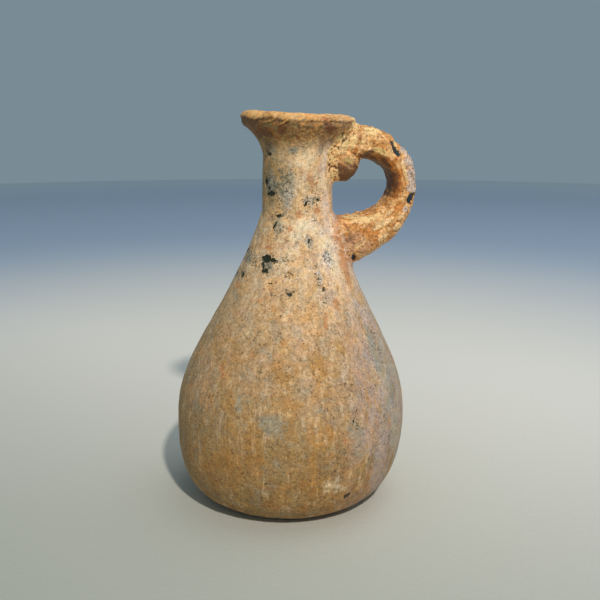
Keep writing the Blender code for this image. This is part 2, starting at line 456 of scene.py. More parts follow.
VESSEL_STAINS = {
    "bare": [
        Stain(266.9, 258.6, 4.2, 4, 1, -20), Stain(273.6, 260.6, 3.8, 2.4, 1, -15),
        Stain(264.8, 270.6, 3.6, 2.8, 1, -15), Stain(262.8, 264.6, 1.4, 3.2, 0.7, 10),
        Stain(271.2, 193.6, 3.8, 2.4, 1, 5), Stain(266.6, 181.6, 1.5, 4.6, 0.9),
        Stain(269.2, 188, 1.4, 3, 0.7), Stain(269.6, 154.2, 1.9, 1.9, 0.85),
        Stain(305.8, 204.2, 3.4, 1.5, 0.85, 60), Stain(318.4, 200, 1.8, 1.4, 0.9),
        Stain(248, 249.6, 3.2, 2, 1, 60), Stain(236.6, 273.4, 3.6, 3, 1, 60),
        Stain(242.6, 275.4, 3.8, 1.5, 0.9, 62), Stain(274.6, 225.4, 4.8, 1, 0.85, 62),
        Stain(278.6, 215.8, 4.2, 1.6, 0.9, 8), Stain(289.2, 294.8, 3.2, 1.9, 0.9, -5),
        Stain(272.6, 282.8, 4, 1.2, 0.8, 10), Stain(271, 294.4, 1.9, 1.5, 0.85),
        Stain(308.8, 240.8, 1.5, 3.4, 0.75, 12), Stain(319.2, 279.6, 1.5, 2.8, 0.75, 10),
        Stain(323.3, 288.8, 2, 2.2, 0.85), Stain(346.6, 495.8, 3.8, 1.6, 1, 34),
        Stain(339, 489.6, 1.1, 1, 0.8), Stain(357, 410, 1.3, 1.3, 0.8), Stain(353.8, 421.8, 1.4, 2.2, 0.65),
    ],
    "pepper": [
        Stain(286, 188, 9, 19), Stain(271, 186, 6, 17, 0.9), Stain(311.5, 201, 10.5, 5.5, 1, 12),
        Stain(277.5, 216, 12, 5, 1, 3), Stain(277.5, 229, 5.5, 8.5, 0.9), Stain(251, 257, 6.5, 11, 1, 32),
        Stain(240.5, 272, 7, 7.5, 1, 30), Stain(268, 264, 10, 10, 0.75), Stain(284.5, 259.8, 6.5, 3.6),
        Stain(289.5, 275.4, 8.5, 4.2), Stain(290, 292, 8, 6.5, 0.85), Stain(309.5, 242, 4, 7.5, 1, 14),
        Stain(327.8, 257, 5, 7.5, 1, 10), Stain(318.5, 277, 3.6, 13, 0.9, 14), Stain(325, 302, 3.6, 8, 0.8),
        Stain(314, 219, 3, 3.6, 0.8), Stain(306.6, 213, 2.6, 3.6, 0.8), Stain(293, 150, 5, 4, 0.6),
        Stain(318, 190, 8, 14, 0.5), Stain(356, 424, 6, 6, 0.55), Stain(377, 345, 4.5, 20, 0.65, 20),
        Stain(334, 474, 4, 3.6, 0.8), Stain(190, 412, 3.5, 9, 0.7), Stain(209, 428, 3.5, 3, 0.7),
        Stain(285, 261, 7, 4),
    ],
    "grey": [
        Stain(272, 425, 15, 12, 0.85), Stain(356.5, 431, 9, 14, 0.62), Stain(239, 405, 7, 12, 0.5),
        Stain(322, 412, 6, 6, 0.5), Stain(287, 189, 9, 20, 0.9), Stain(271, 184, 6, 16, 0.8),
        Stain(271, 148, 6, 9, 0.55), Stain(284, 212, 9, 7, 0.55), Stain(300, 136, 16, 4, 0.5, -4),
        Stain(294, 150, 5, 4, 0.8), Stain(321, 148, 3, 9, 0.8), Stain(277.5, 226, 6, 8, 0.9),
        Stain(312, 201, 10, 6, 0.6, 8), Stain(267, 266, 7, 7, 0.8), Stain(309, 243, 4, 8, 0.8, 12),
        Stain(328, 258, 5, 9, 0.8, 10), Stain(248, 258, 5, 10, 0.7, 32), Stain(236, 295, 3.6, 8, 0.7, 20),
        Stain(375, 352, 5, 30, 0.7, 18), Stain(392, 392, 3, 26, 0.7, 8), Stain(347, 316, 4.5, 22, 0.6, 12),
        Stain(196, 400, 5, 16, 0.5), Stain(238, 372, 8, 10, 0.5), Stain(360, 452, 7, 14, 0.5),
        Stain(320, 279, 3.4, 14, 0.6, 14),
    ],
    "cream": [
        Stain(308, 160, 13, 15, 0.7), Stain(302, 226, 8, 7, 0.9, 20), Stain(296, 237, 9, 6, 0.8),
        Stain(283, 222.6, 6, 1.8, 0.8, 10), Stain(325, 243, 7, 8), Stain(335, 268, 5, 14, 0.7, 12),
        Stain(315, 231, 6, 6, 0.8), Stain(324, 183, 5.5, 9, 0.8), Stain(288, 262, 16, 9, 0.6),
        Stain(252, 268, 5, 8, 0.6, 20), Stain(334, 487, 13, 8, 0.6), Stain(302, 191, 7, 11, 0.5),
    ],
    "rust": [
        Stain(310.5, 180, 4, 10, 0.7, 25), Stain(299.6, 214.6, 4.6, 4, 0.8), Stain(317, 211, 3.6, 4.6, 0.8),
        Stain(315.6, 184, 3.2, 1.5, 1, 30), Stain(268.6, 248, 4.4, 2.4, 1, -10),
        Stain(301.5, 260, 4.2, 4.8, 0.9), Stain(289.6, 229, 3, 3.4, 0.9), Stain(276.4, 246, 12, 4, 0.5, -8),
        Stain(336, 304, 3.6, 7, 0.8), Stain(326, 324, 3, 12, 0.7), Stain(345, 442, 1.8, 8, 0.8),
        Stain(238, 284, 4, 5, 0.7), Stain(340, 222, 5, 5, 0.7), Stain(344, 262, 4.6, 28, 0.75, 14),
        Stain(350, 330, 5, 30, 0.4, 14), Stain(222, 372, 4, 12, 0.7, 8), Stain(258, 300, 14, 3, 0.5),
        Stain(326, 119.4, 6, 2.2, 0.9, -10), Stain(330.5, 128.6, 5, 4, 0.85), Stain(324, 135, 5, 4, 0.5),
        Stain(280.6, 131.5, 4, 4, 0.8), Stain(266, 158, 3, 15, 0.6), Stain(262, 240, 8, 14, 0.42, 25),
        Stain(284, 245, 12, 8, 0.4), Stain(275, 290, 18, 7, 0.42, -10), Stain(300, 246, 5, 9, 0.42),
        Stain(314, 262, 5, 14, 0.4, 10), Stain(303, 172, 4, 5, 0.5), Stain(320, 170, 3, 4, 0.5),
    ],
    "ochre": [
        Stain(314, 470, 4, 30, 0.8), Stain(330, 434, 4, 9, 1, 10), Stain(322, 447, 6, 5, 1, -20),
        Stain(276, 366, 12, 8, 0.6), Stain(294, 404, 12, 7, 0.7), Stain(235, 365, 8, 16, 0.6),
        Stain(230, 425, 9, 12, 0.6), Stain(225, 470, 38, 26, 0.7), Stain(296, 262, 9, 6, 0.8),
        Stain(282, 148, 8, 10, 0.55), Stain(276, 212, 6, 3.6, 0.9), Stain(310, 170, 8, 9, 0.5),
        Stain(266, 300, 9, 12, 0.5, 20), Stain(318, 352, 5, 26, 0.6, 6), Stain(336, 372, 7, 9, 0.6),
    ],
    # Brown crust; under the rim, partly painted shade
    "brown": [
        Stain(268, 146, 4, 9, 0.5), Stain(269, 167, 3, 10, 0.45), Stain(262, 129, 8, 4, 0.65, -20),
        Stain(281.5, 130.6, 5, 4), Stain(336, 117.4, 16, 3, 0.4, -6), Stain(252, 125, 8, 6, 0.5, 30),
        Stain(331, 130, 7, 5), Stain(259, 134, 5, 5, 1, 30), Stain(267, 134, 6, 3, 0.9, -20),
        Stain(215, 470, 22, 22, 0.45), Stain(252, 462, 12, 14, 0.4), Stain(300, 508, 80, 6, 0.4),
    ],
    "fold": [
        Stain(290, 122, 18, 7, 1, -3), Stain(262, 121, 8, 6, 0.6, -5), Stain(330, 122, 9, 6, 0.8, -5),
    ],
}


def pixel_ray(camera, column, row):
    """The direction in which a pixel of the picture is seen."""
    seen = Vector(((column - PICTURE_SIDE / 2) / PIXEL_REACH, (PICTURE_SIDE / 2 - row) / PIXEL_REACH, -1.0))
    return (camera.matrix_world.to_3x3() @ seen).normalized()


def stain_frame(camera, surface, stain):
    """The centre, long axis, short axis and facing of a stain, or None where its pixel misses."""
    origin = camera.matrix_world.translation
    centre, normal, _, _ = surface.ray_cast(origin, pixel_ray(camera, stain.column, stain.row))
    if centre is None:
        return None
    turn = math.radians(stain.turn)
    longest = STAIN_STRETCH * (centre - origin).length / PIXEL_REACH
    steps = (Vector((math.cos(turn), -math.sin(turn))), Vector((math.sin(turn), math.cos(turn))))
    axes = []
    for step, extent in zip(steps, (stain.length, stain.width)):
        ray = pixel_ray(camera, stain.column + step.x, stain.row + step.y)
        along = (centre - origin).dot(normal) / ray.dot(normal)
        axis = origin + along * ray - centre
        axes.append(min(1.0, longest / axis.length) * extent * axis)
    facing = axes[0].cross(axes[1]).normalized()
    if facing.dot(centre - CAMERA_PLACE) > 0:
        facing.negate()
    return centre, *axes, facing


def add_stain(values, places, normals, centre, long_axis, short_axis, facing, strength):
    """Raises the values in an ellipse on the surface: full in its middle, half at its edge, none beyond."""
    reach = STAIN_EDGE * max(long_axis.length, short_axis.length)
    offset = places - np.array(centre)
    faced = normals @ np.array(facing) > STAIN_FACING
    near = np.where((np.linalg.norm(offset, axis=1) < reach) & faced)[0]
    if not len(near):
        return
    axes = np.array([long_axis, short_axis]).T
    shares = offset[near] @ np.linalg.pinv(axes).T
    distance = np.linalg.norm(shares, axis=1)
    values[near] = np.maximum(values[near], strength * unit(STAIN_EDGE - distance))


def photo_stains(camera, places, normals, surface, stains):
    """The value of each kind of stain at every point."""
    found = {kind: np.zeros(len(places)) for kind in stains}
    for kind, listed in stains.items():
        for stain in listed:
            framed = stain_frame(camera, surface, stain)
            if framed:
                add_stain(found[kind], places, normals, *framed, stain.strength)
    return found


def random_stains(found, places, normals, allowed, kinds, count, seed):
    """More stains of these kinds at random points, where allowed says."""
    draw = random.Random(seed)
    choices = np.where(allowed)[0]
    for _ in range(count):
        kind, smallest, largest, strength = kinds[draw.randrange(len(kinds))]
        at = choices[draw.randrange(len(choices))]
        normal = Vector(normals[at])
        along = normal.orthogonal().normalized()
        across = normal.cross(along)
        turn = draw.uniform(0, math.pi)
        size = draw.uniform(smallest, largest) * MM
        slim = draw.uniform(STAIN_SLIMMEST, 1.0)
        long_axis = size * (math.cos(turn) * along + math.sin(turn) * across)
        short_axis = size * slim * (math.cos(turn) * across - math.sin(turn) * along)
        add_stain(found[kind], places, normals, Vector(places[at]), long_axis, short_axis, normal, strength)


def keep_stains(mesh, found):
    for kind, values in found.items():
        attribute = mesh.attributes.new(kind, "FLOAT", "POINT")
        attribute.data.foreach_set("value", values.astype(np.float32))


# The vessel

# Kinds of stains where the camera doesn't see: their smallest and largest size in millimetres, and strength
HIDDEN_STAINS = [
    ("bare", 0.5, 1.4, 0.95),
    ("pepper", 1.2, 4.5, 1.0),
    ("pepper", 1.0, 3.0, 0.9),
    ("grey", 1.5, 4.5, 0.8),
    ("cream", 2.0, 5.0, 0.6),
    ("rust", 1.0, 4.0, 0.8),
    ("ochre", 2.0, 6.0, 0.8),
    ("brown", 3.0, 8.0, 0.4),
    ("fold", 2.0, 5.0, 0.9),
]
HIDDEN_COUNT = 84
HIDDEN_SEED = 11
HIDDEN_FACING = -0.15


def rim_shares(places, outer, heights):
    """How high the fold under the lip runs, and how far each point is above it or under it."""
    fold = HEIGHT - FOLD_DROP + FOLD_WANDER * noise_at(places, FOLD_SIZE, 6)
    above = unit((heights - fold) / FOLD_WIDTH + 0.5) * outer
    under = (1 - above) * outer * unit((heights - UNDER_FROM) / UNDER_BLUR)
    return fold, above, under


def wrinkles_at(places, outer, heights, fold):
    """Slanting wrinkles in a band under the fold, from 1 on their crests to -1 in the creases."""
    along = WRINKLE_SLOPE * places[:, 0]
    slanted = np.stack([
        (places[:, 2] - along) / WRINKLE_SIZE,
        (places[:, 0] + WRINKLE_SLOPE * places[:, 2]) / WRINKLE_LENGTH,
        places[:, 1] / WRINKLE_LENGTH,
    ], axis=1)
    shown = band(heights - fold + WRINKLE_BAND / 2, WRINKLE_BAND, 1.4)
    return shown * outer * np.clip(2.2 * noise_at(slanted, 1.0, 7), -1, 1)


def vessel_relief(places, zones, heights, stains, fold, wrinkles, near_weld):
    """How far each point of the vessel moves along its normal."""
    outside = np.isin(zones, ("body", "neck", "lip", "funnel"))
    relief = BLOWN_DEPTH * noise_at(places, BLOWN_SIZE, 1)
    relief += np.where(outside, 1.0, INSIDE_CRUST) * CRUST_DEPTH * fractal(places, CRUST_SIZE, 2)
    near_rim = unit((heights - (HEIGHT - LIP_BAND)) / (LIP_BAND / 3)) * outside
    relief += near_rim * LIP_LUMP * fractal(places, LIP_SIZE, 4, 2)
    outer = np.isin(zones, ("neck", "lip"))
    drop = fold - heights
    relief -= FOLD_STEP * outer * unit(drop / FOLD_WIDTH) * unit(1 - drop / FOLD_RECOVER)
    relief += WRINKLE_DEPTH * wrinkles
    relief -= BARE_DEPTH * deep(stains["bare"], 0.35, 3)
    relief += CREAM_DEPTH * deep(stains["cream"], 0.2, 2)
    relief += WELD_HEIGHT * near_weld**2 * outside
    return relief + CRUMB_DEPTH * stains["crumb"] * (1 - 2 * stains["hollow"])


def build_vessel(camera):
    points, faces, zones, heights = vessel_surface()
    vessel = mesh_object("vessel_crust", points, faces)
    mesh = vessel.data
    places, normals = read_points(mesh)
    surface = BVHTree.FromPolygons(points, faces)
    stains = photo_stains(camera, places, normals, surface, VESSEL_STAINS)
    turned_away = normals @ np.array(CAMERA_PLACE.normalized()) < HIDDEN_FACING
    hidden = np.isin(zones, ("body", "neck", "lip")) & turned_away
    random_stains(stains, places, normals, hidden, HIDDEN_STAINS, HIDDEN_COUNT, HIDDEN_SEED)
    handle_form = surface_of(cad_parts["handle"].data)
    near_weld = nearness(handle_form, places, WELD_REACH)
    outer = np.isin(zones, ("neck", "lip"))
    crumbs = unit(CRUMB_GAIN * nearness(handle_form, places, CRUMB_REACH)) * outer
    fold, stains["lip"], stains["under"] = rim_shares(places, outer, heights)
    stains["inside"] = (zones == "inside").astype(float)
    stains["hollow"] = hollows_at(places)
    stains["crumb"] = crumbs * (places[:, 2] > CRUMB_FROM)
    wrinkles = stains["fold"] * wrinkles_at(places, outer, heights, fold)
    # Painted shade in a line just under the fold and in the creases of the wrinkles
    fold_shade = stains["under"] * unit(1 - (fold - heights) / FOLD_SHADE_REACH)
    stains["crease"] = unit(fold_shade - wrinkles)
    # Painted highlight on the crests of the wrinkles
    stains["crest_highlight"] = unit(wrinkles)
    stains["weld"] = WELD_SHARE * near_weld * (places[:, 2] < CRUMB_FROM)
    keep_stains(mesh, stains)
    relief = vessel_relief(places, zones, heights, stains, fold, wrinkles, near_weld)
    moved = places + normals * relief[:, None]
    moved[:, 2] = np.maximum(moved[:, 2], 0.0)
    write_points(mesh, moved)
    mesh.materials.append(vessel_material())
    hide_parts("vessel")
    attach(vessel, "root")
    return surface


# The handle

HANDLE_STAINS = {
    "bare": [
        Stain(396.4, 150.4, 7, 2.5, 1, -60), Stain(391.6, 143.2, 3.6, 1.4, 0.9, -52),
        Stain(411, 198.4, 6, 2.9, 1, 68), Stain(351.6, 262, 5, 2.2, 1, 52),
        Stain(352.8, 259, 4.4, 2.2, 1, 52),
    ],
    "flake": [
        Stain(403.6, 150.6, 6.5, 4, 0.6, -52), Stain(409, 162, 7.5, 4.6, 1, -66),
        Stain(411.6, 175, 8, 4.6, 1, -85), Stain(411.4, 187, 5.5, 3.8, 1, 85),
        Stain(405, 209, 3.6, 2.6, 0.8, 60),
    ],
    "green": [
        Stain(379.6, 151, 7, 3.2, 1, -22), Stain(347, 160, 5, 3, 0.7),
    ],
    "cream": [
        Stain(382, 223.9, 12, 3.2, 1, 30), Stain(359.5, 222.4, 11, 2.8, 1, 8),
        Stain(389, 213.3, 6.5, 2, 0.9, 42), Stain(344, 143, 4, 9, 0.9, 5), Stain(340, 150, 4, 6, 0.8),
        Stain(383, 237, 7, 2.6, 0.9, 38), Stain(396.3, 226.4, 5.5, 2.4, 0.9, 45),
        Stain(401, 216, 5, 2.4, 0.9, 50), Stain(338, 217, 6, 2.2, 0.9, 5),
        Stain(404, 171, 1.8, 13, 0.9, 14), Stain(360, 244, 9, 4, 0.5, 25),
    ],
    # Painted highlights: on the blob's top, the bar's top and the edges of the strap
    "painted_highlight": [
        Stain(353, 140, 5, 9, 0.7), Stain(372, 131, 12, 4, 0.66, -14), Stain(395, 143, 5, 2, 0.6, -50),
        Stain(344.6, 143, 4.6, 7, 1, 6), Stain(391, 208, 10, 3, 0.5, 44), Stain(366, 143, 11, 4, 0.45, -8),
        Stain(350, 218.6, 10, 3, 1, 4), Stain(372, 219, 14, 3.2, 0.6, 20), Stain(346, 216, 12, 2.6, 0.6, 2),
        Stain(399.6, 178, 1.1, 14, 0.3, 2),
    ],
    "rust": [
        Stain(352, 238, 10, 8, 0.6, 10), Stain(397, 207, 8, 4.6, 1, 45), Stain(366, 231.6, 10, 3.4, 1, 15),
        Stain(377.6, 229.8, 6, 1.8, 0.9, 30), Stain(354.8, 149.6, 4.5, 3.6, 0.55),
        Stain(383, 133.6, 9, 2.4, 0.9, -14), Stain(375, 241, 4.4, 3.2, 0.8),
        Stain(399.6, 184, 2.4, 13, 1, 5), Stain(392, 165, 2.4, 8, 0.9, -30),
        Stain(341, 178, 7, 1.6, 0.8, 8), Stain(404, 184, 3, 8, 0.52, 5), Stain(400.8, 172, 2, 7, 0.8),
        Stain(372, 233, 9, 4, 0.7, 20), Stain(391, 209, 8, 4, 0.8, 44),
    ],
    # Brown crust; on the blob's right and lower side and on the strap's inner face, partly painted shade
    "brown": [
        Stain(386, 160.6, 8, 1.6, 1, -38), Stain(366, 152.6, 8, 2, 1, 10), Stain(344, 173, 12, 6, 1, 8),
        Stain(374, 156, 6, 2.4, 0.65, -20), Stain(357.2, 159, 4.6, 9), Stain(352, 168, 7, 5, 0.7),
        Stain(335.6, 166, 2, 9, 0.8), Stain(352.6, 166, 2.6, 5, 0.7, 10), Stain(348, 238, 9, 9, 0.5),
        Stain(362, 251, 8, 4, 0.4, 25), Stain(348, 161, 7, 5, 0.4), Stain(356.5, 163, 4, 8, 0.85, 10),
        Stain(345, 166, 10, 9, 0.35), Stain(394.6, 178, 3.2, 9, 0.85), Stain(397.2, 182, 2.6, 9, 0.8),
        Stain(411.2, 175.6, 6.5, 1, 0.5, -69),
    ],
    "dull": [
        Stain(352, 243, 13, 9, 1, 25), Stain(366, 247, 10, 5, 0.8, 35),
    ],
}
HIDDEN_HANDLE_STAINS = [
    ("bare", 0.6, 1.8, 1.0),
    ("cream", 1.0, 2.8, 1.0),
    ("rust", 1.2, 3.2, 1.0),
    ("brown", 1.0, 2.4, 0.7),
    ("flake", 1.2, 2.5, 1.0),
]
HIDDEN_HANDLE_COUNT = 26
HIDDEN_HANDLE_SEED = 5
HIDDEN_HANDLE_FACING = 0.3


def remeshed_handle():
    """A fine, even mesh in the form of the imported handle."""
    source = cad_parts["handle"].data
    shape = bmesh.new()
    shape.from_mesh(source)
    bmesh.ops.remove_doubles(shape, verts=shape.verts, dist=HANDLE_JOIN)
    mesh = bpy.data.meshes.new("handle_form")
    shape.to_mesh(mesh)
    shape.free()
    form = add_object("handle_form", mesh)
    remesh = form.modifiers.new("remesh", "REMESH")
    remesh.mode = "VOXEL"
    remesh.voxel_size = HANDLE_VOXEL
    relax = form.modifiers.new("relax", "SMOOTH")
    relax.factor = HANDLE_SMOOTH_SHARE
    relax.iterations = HANDLE_SMOOTHING
    evaluated = form.evaluated_get(bpy.context.evaluated_depsgraph_get())
    made = bpy.data.meshes.new_from_object(evaluated)
    bpy.data.objects.remove(form, do_unlink=True)
    made.name = "handle_trail"
    made.materials.clear()
    made.shade_smooth()
    return add_object("handle_trail", made)


def loop_shares(places, normals):
    """How far each point faces into the gap, how far it is on the strap, and its angle round the gap."""
    offset = places - np.array(LOOP_CENTRE)
    angle = np.arctan2(offset[:, 2], offset[:, 0])
    inward = -(normals[:, 0] * np.cos(angle) + normals[:, 2] * np.sin(angle))
    strap = unit((places[:, 0] - STRAP_FROM) / STRAP_BLUR)
    return inward, strap, angle


def handle_relief(places, stains, inward, strap, angle):
    """How far each point of the handle moves along its normal."""
    offset = places - np.array(LOOP_CENTRE)
    radius = np.hypot(offset[:, 0], offset[:, 2])
    trailed = np.stack([radius, offset[:, 1], angle * np.mean(radius) / 6], axis=1)
    relief = HANDLE_GROWTH + HANDLE_LUMP * noise_at(places, HANDLE_LUMP_SIZE, 1)
    relief += HANDLE_STRIPE * noise_at(trailed, HANDLE_STRIPE_SIZE, 2)
    relief += HANDLE_GRAIN * fractal(places, HANDLE_GRAIN_SIZE, 3, 2)
    relief += LUMP_HEIGHT * deep(stains["cream"], 0.25, 2.5)
    relief += FLAKE_HEIGHT * deep(stains["flake"], 0.35, 6)
    relief -= HANDLE_BARE_DEPTH * deep(stains["bare"], 0.35, 5)
    relief += GAP_RISE * unit(1.5 * inward)
    from_blob = np.linalg.norm(places - np.array(BLOB_PLACE), axis=1)
    relief += BLOB_RISE * np.exp(-(from_blob / BLOB_REACH) ** 2)
    relief += EDGE_HEIGHT * band(inward * strap - EDGE_MIDDLE, EDGE_WIDTH)
    past = (angle - STEP_ANGLE + STEP_WANDER * noise_at(places, HANDLE_LUMP_SIZE, 9)) / STEP_BLUR
    layer = np.clip(past, -1, 1) * band(angle - STEP_ANGLE, STEP_REACH, 1.2)
    relief += STEP_HEIGHT * layer * unit(-2 * inward * strap)
    return relief + CRUMB_DEPTH * stains["crumb"] * (1 - 2 * stains["hollow"])


def sink_seats(places, vessel_surface):
    """Sinks what faces the vessel a little into its wall, so that the glass of the two meets."""
    moved = places.copy()
    for i, place in enumerate(places):
        nearest, normal, _, distance = vessel_surface.find_nearest(Vector(place), 2 * HANDLE_SEAT)
        if nearest is not None:
            share = smooth(2 - distance / HANDLE_SEAT)
            moved[i] -= HANDLE_SINK * share * np.array(normal)
    return moved


def build_handle(camera, vessel_surface):
    handle = remeshed_handle()
    mesh = handle.data
    places, normals = read_points(mesh)
    stains = photo_stains(camera, places, normals, surface_of(mesh), HANDLE_STAINS)
    hidden = normals[:, 1] > HIDDEN_HANDLE_FACING
    kinds = HIDDEN_HANDLE_STAINS
    random_stains(stains, places, normals, hidden, kinds, HIDDEN_HANDLE_COUNT, HIDDEN_HANDLE_SEED)
    inward, strap, angle = loop_shares(places, normals)
    shaded = unit((angle - SUNNY_ANGLE) / SUNNY_BLUR)
    # The part of the strap's inner face that turns from the light, painted with grime and painted shade
    stains["inner"] = shaded * unit((inward * strap - INNER_FROM) / INNER_BLUR)
    near = nearness(vessel_surface, places, CRUMB_REACH)
    stains["crumb"] = unit(CRUMB_GAIN * near) * (places[:, 2] > CRUMB_FROM)
    stains["weld"] = unit(HANDLE_WELD_GAIN * near) * (places[:, 2] < CRUMB_FROM)
    stains["hollow"] = hollows_at(places)
    keep_stains(mesh, stains)
    moved = places + normals * handle_relief(places, stains, inward, strap, angle)[:, None]
    write_points(mesh, sink_seats(moved, vessel_surface))
    mesh.materials.append(handle_material())
    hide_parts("handle")
    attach(handle, "root")


# Materials

TAN = linear(194, 155, 106)
PINK = linear(200, 160, 120)
OCHRE = linear(184, 134, 70)
STRAW = linear(236, 188, 130)
SAND = linear(240, 204, 160)
EARTH = linear(168, 130, 72)
CREAM = linear(244, 216, 172)
BROWN = linear(140, 98, 48)
UMBER = linear(98, 60, 34)
CHESTNUT = linear(164, 100, 44)
OLIVE = linear(156, 126, 76)
MAUVE = linear(184, 159, 147)
PEARL = linear(244, 215, 190)
CLOUD = linear(158, 148, 124)
GREY = linear(158, 152, 130)
HAZE = linear(178, 169, 145)
MIST = linear(212, 201, 182)
RUST = linear(200, 136, 84)
WINE = linear(178, 98, 72)
INSIDE_BROWN = linear(140, 116, 86)
GRIME_AND_SHADE = linear(84, 68, 48)
PEPPER = linear(80, 80, 62)
PIT = linear(86, 58, 30)
GLASS = linear(36, 38, 9)
TEAL = linear(22, 44, 54)
GOLD = linear(234, 180, 110)
# The painted highlight on the rim's wrinkles
CREST_GLINT = linear(252, 178, 92)
HONEY = linear(250, 194, 130)
ORANGE = linear(225, 157, 84)
AMBER = linear(208, 128, 50)
TOFFEE = linear(182, 108, 30)
RUSSET = linear(166, 100, 46)
LUMP = linear(254, 210, 150)
BRIGHT = linear(255, 216, 150)
FLAKE = linear(214, 190, 174)
GREEN = linear(206, 172, 104)
DRAB = linear(216, 164, 122)

# Roughness, relief too fine for the mesh, and how unevenness, flecks and pits are drawn
CRUST_ROUGHNESS = 0.76
TRAIL_ROUGHNESS = 0.58
GLASS_ROUGHNESS = 0.42
VESSEL_BUMP = 0.00028
HANDLE_BUMP = 0.00034
SWING = 12.5
WARM = (1.05, 1.0, 0.94, 1.0)
COOL = (0.96, 1.0, 1.08, 1.0)
FLECK_LEVEL = 0.64
FLECK_EDGE = 0.08
PIT_CHOICE = 0.02
PIT_CORE = 0.45


class Value:
    """A node's output. Arithmetic on it adds a node."""

    def __init__(self, graph, socket):
        self.graph = graph
        self.socket = socket

    def __mul__(self, other):
        return self.graph.math("MULTIPLY", self, other)

    def __add__(self, other):
        return self.graph.math("ADD", self, other)

    def __sub__(self, other):
        return self.graph.math("SUBTRACT", self, other)


class Graph:
    """Short ways to add a material's nodes. What isn't laid on the colour is given back as a Value."""

    def __init__(self, name):
        self.material = bpy.data.materials.new(name)
        self.material.use_nodes = True
        self.tree = self.material.node_tree
        self.place = self.vector("MULTIPLY", self.node("TexCoord", {}, "Object"), (1 / MM,) * 3)
        self.colour = None

    def fill(self, node, inputs):
        for key, value in inputs.items():
            if isinstance(value, Value):
                self.tree.links.new(value.socket, node.inputs[key])
            else:
                node.inputs[key].default_value = value

    def node(self, kind, inputs, output=0, **settings):
        """An output of a new node that has these inputs, each a value or another node's output."""
        node = self.tree.nodes.new("ShaderNode" + kind)
        for name, value in settings.items():
            setattr(node, name, value)
        self.fill(node, inputs)
        return Value(self, node.outputs[output])

    def vector(self, operation, first, second, output=0):
        return self.node("VectorMath", {0: first, 1: second}, output, operation=operation)

    def squeezed(self, share):
        """Places squeezed in height, so that what is drawn with them is stretched upright."""
        return self.vector("MULTIPLY", self.place, (1.0, 1.0, share))

    def math(self, operation, first, second):
        return self.node("Math", {0: first, 1: second}, operation=operation)

    def most(self, first, second):
        return self.math("MAXIMUM", first, second)

    def ramp(self, value, low, high, top=1.0):
        """Turns smoothly from 0 at low to top at high."""
        inputs = {"Value": value, "From Min": low, "From Max": high, "To Max": top}
        return self.node("MapRange", inputs, interpolation_type="SMOOTHSTEP")

    def noise(self, size, seed, detail=3.0, roughness=0.55, place=None):
        """Noise round 0.5 whose features are about this many millimetres."""
        moved = self.vector("ADD", place or self.place, (13.7 * seed, 7.1 * seed, 3.9 * seed))
        inputs = {"Vector": moved, "Scale": 1 / size, "Detail": detail, "Roughness": roughness}
        return self.node("TexNoise", inputs)

    def cells(self, size, seed):
        """The distance to the middle of each cell, and a number of its own for each cell."""
        moved = self.vector("ADD", self.place, (5.3 * seed, 11.9 * seed, 2.7 * seed))
        colour = self.node("TexVoronoi", {"Vector": moved, "Scale": 1 / size}, "Color")
        distance = Value(self, colour.socket.node.outputs["Distance"])
        return distance, self.node("SeparateColor", {0: colour})

    def mix(self, share, low, high):
        return self.node("Mix", {0: share, 6: low, 7: high}, 2, data_type="RGBA")

    def blend(self, share, low, high):
        """The same for two plain numbers."""
        return self.node("Mix", {0: share, 2: low, 3: high})

    def lay(self, share, colour):
        """Covers the colour so far with another one, by this share."""
        self.colour = self.mix(share, self.colour, colour)

    def shade(self, factor):
        """Makes the colour lighter or darker."""
        self.colour = self.node("VectorMath", {0: self.colour, "Scale": factor}, operation="SCALE")

    def tint(self, size, seed):
        """Makes the colour warmer and cooler in soft patches of about this size."""
        warmth = self.mix(self.patches(size, seed, 0.38, 0.62), WARM, COOL)
        self.colour = self.vector("MULTIPLY", self.colour, warmth)

    def attribute(self, name):
        return self.node("Attribute", {}, "Fac", attribute_name=name)

    def stain(self, name, raggedness, size, seed, low, high, top=1.0):
        """A stain's share, with its edge made ragged by noise of this size."""
        wander = (self.noise(size, seed, 4.0, 0.6) - 0.5) * raggedness
        value = self.attribute(name)
        spread = value + wander * self.ramp(value, 0.0, 0.2)
        return self.ramp(spread, low, high, top)

    def patches(self, size, seed, low, high, top=1.0, place=None):
        """Soft-edged patches of about this size, fewer the higher low is."""
        return self.ramp(self.noise(size, seed, 4.0, 0.6, place), low, high, top)

    def uneven(self, sizes, seed):
        """A factor round 1 that varies at each size by about the amount given with it."""
        total = 1.0
        for i, (size, amount) in enumerate(sizes):
            swing = self.noise(size, seed + i, 3.0, 0.65) - 0.5
            total = swing * (SWING * amount) + total
        return total

    def flecks(self, name, size, seed, cover):
        """Small flecks where the stain is, which crowd together where it is strong."""
        value = self.attribute(name)
        level = self.math("SUBTRACT", FLECK_LEVEL, value * cover)
        over = self.noise(size, seed, 3.0, 0.65) - level
        return self.ramp(over, 0.0, FLECK_EDGE) * self.ramp(value, 0.05, 0.3)

    def pits(self, size, seed, share, radius):
        """Round pits in this share of the cells."""
        distance, own = self.cells(size, seed)
        chosen = self.ramp(own, 1 - share - PIT_CHOICE, 1 - share + PIT_CHOICE)
        return chosen * self.ramp(distance, radius, radius * PIT_CORE)

    def grain(self, coarse, fine, share):
        """Coarse noise with this share of finer noise on top."""
        return self.noise(coarse, 31, 4.0, 0.6) + self.noise(fine, 32) * share

    def axis(self, index):
        return self.node("SeparateXYZ", {0: self.place}, index)

    def finish(self, roughness, height, depth):
        bump = self.node("Bump", {"Distance": depth, "Height": height})
        inputs = {"Base Color": self.colour, "Roughness": roughness, "Normal": bump}
        self.fill(self.tree.nodes["Principled BSDF"], inputs)
        return self.material


